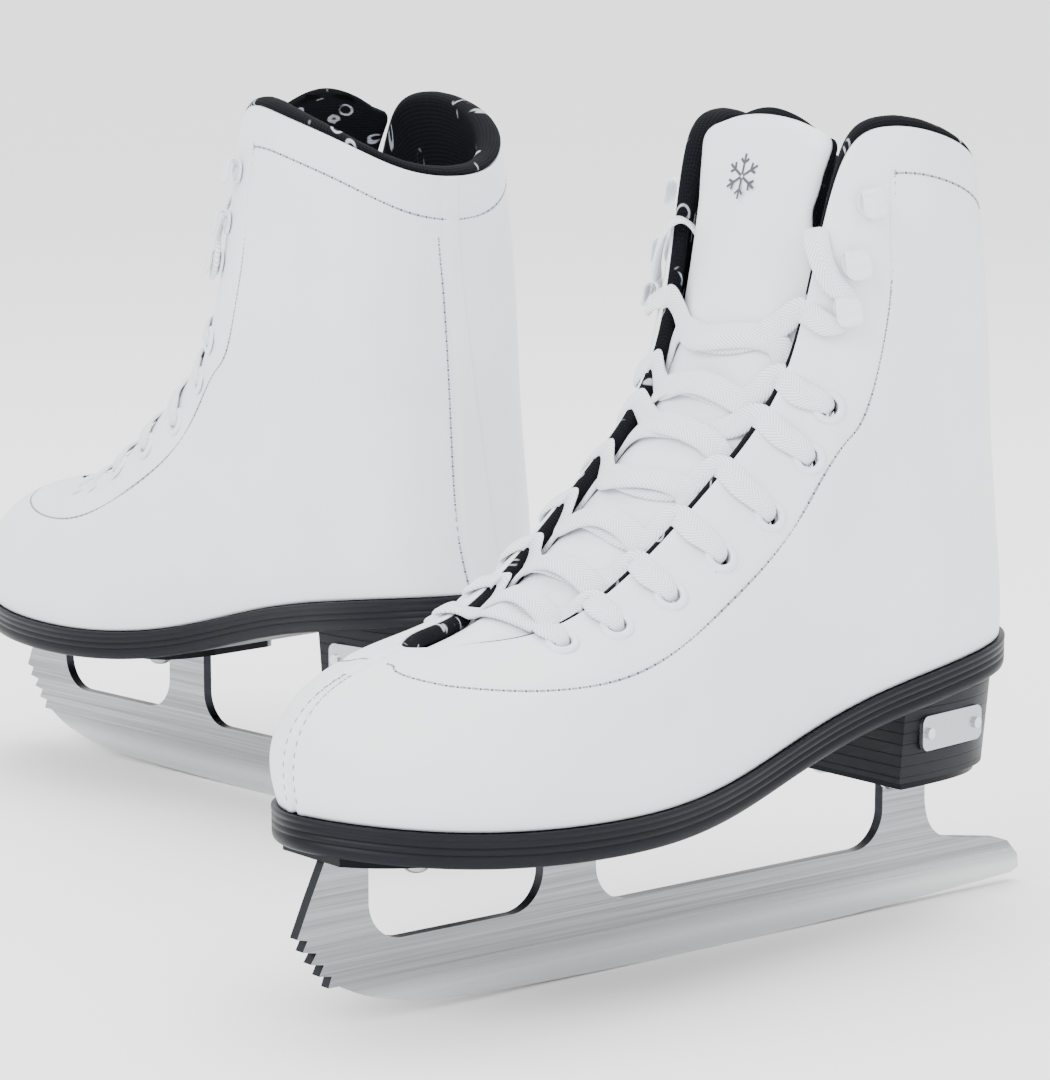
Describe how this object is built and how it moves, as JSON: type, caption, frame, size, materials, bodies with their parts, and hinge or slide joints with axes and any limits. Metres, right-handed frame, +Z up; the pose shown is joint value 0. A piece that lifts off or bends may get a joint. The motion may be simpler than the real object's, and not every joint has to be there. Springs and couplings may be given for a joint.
{
  "type": "figure skates",
  "caption": "Pair of white lace-up figure skates with padded boots, heeled soles and steel toe-pick blades.",
  "frame": {"origin": "on the ice, under the middle of the pair's outer box", "axes": "+Z up; +X towards the left skate's toe; +Y towards the left skate's outer side"},
  "size_m": [0.2806, 0.4384, 0.2453],
  "materials": {
    "blade_steel": "brushed",
    "plate_steel": "plated",
    "rivet_steel": "polished",
    "badge_metal": "satin",
    "sole_black": "satin",
    "leatherboard": "matte",
    "white_upper": "smooth satin",
    "reinforcement": "matte",
    "foam": "matte",
    "lining_cloth": "matte",
    "white_metal": "enamelled",
    "lace_white": "woven"
  },
  "bodies": {
    "left_skate": {"left_blade": "blade_steel", "left_sole_plate": "plate_steel", "left_heel_plate": "plate_steel", "left_sole_plate_rivets": "rivet_steel", "left_heel_plate_rivets": "rivet_steel", "left_outsole": "sole_black", "left_heel_block": "sole_black", "left_heel_badges": "badge_metal", "left_badge_pins": "rivet_steel", "left_insole_board": "leatherboard", "left_shank": "plate_steel", "left_footbed": "lining_cloth", "left_outer_quarter": "white_upper", "left_inner_quarter": "white_upper", "left_backstay": "white_upper", "left_outer_eyestay": "reinforcement", "left_inner_eyestay": "reinforcement", "left_toe_puff": "reinforcement", "left_heel_counter": "reinforcement", "left_collar_foam": "foam", "left_lining": "lining_cloth", "left_tongue": "white_upper", "left_tongue_lining": "lining_cloth", "left_eyelets": "white_metal", "left_hooks": "white_metal", "left_lace": "lace_white", "left_lace_tips": "rivet_steel"},
    "left_tongue_top": {"left_tongue_flap": "white_upper", "left_flap_lining": "lining_cloth"},
    "right_skate": {"right_blade": "blade_steel", "right_sole_plate": "plate_steel", "right_heel_plate": "plate_steel", "right_sole_plate_rivets": "rivet_steel", "right_heel_plate_rivets": "rivet_steel", "right_outsole": "sole_black", "right_heel_block": "sole_black", "right_heel_badges": "badge_metal", "right_badge_pins": "rivet_steel", "right_insole_board": "leatherboard", "right_shank": "plate_steel", "right_footbed": "lining_cloth", "right_outer_quarter": "white_upper", "right_inner_quarter": "white_upper", "right_backstay": "white_upper", "right_outer_eyestay": "reinforcement", "right_inner_eyestay": "reinforcement", "right_toe_puff": "reinforcement", "right_heel_counter": "reinforcement", "right_collar_foam": "foam", "right_lining": "lining_cloth", "right_tongue": "white_upper", "right_tongue_lining": "lining_cloth", "right_eyelets": "white_metal", "right_hooks": "white_metal", "right_lace": "lace_white", "right_lace_tips": "rivet_steel"},
    "right_tongue_top": {"right_tongue_flap": "white_upper", "right_flap_lining": "lining_cloth"}
  },
  "joints": [
    {"name": "right_skate_lift", "type": "slide", "parent": "left_skate", "child": "right_skate", "axis": [0, 0, 1], "range_m": [0, 0.15]},
    {"name": "left_tongue_fold", "type": "hinge", "parent": "left_skate", "child": "left_tongue_top", "pos_m": [-0.01602, 0.16992, 0.2036], "axis": [0, 1, 0], "range_deg": [0, 25], "stiffness_Nm_per_rad": 0.02},
    {"name": "right_tongue_fold", "type": "hinge", "parent": "right_skate", "child": "right_tongue_top", "pos_m": [-0.03021, -0.06327, 0.2036], "axis": [0.9969, 0.0792, 0], "range_deg": [0, 25], "stiffness_Nm_per_rad": 0.02}
  ]
}
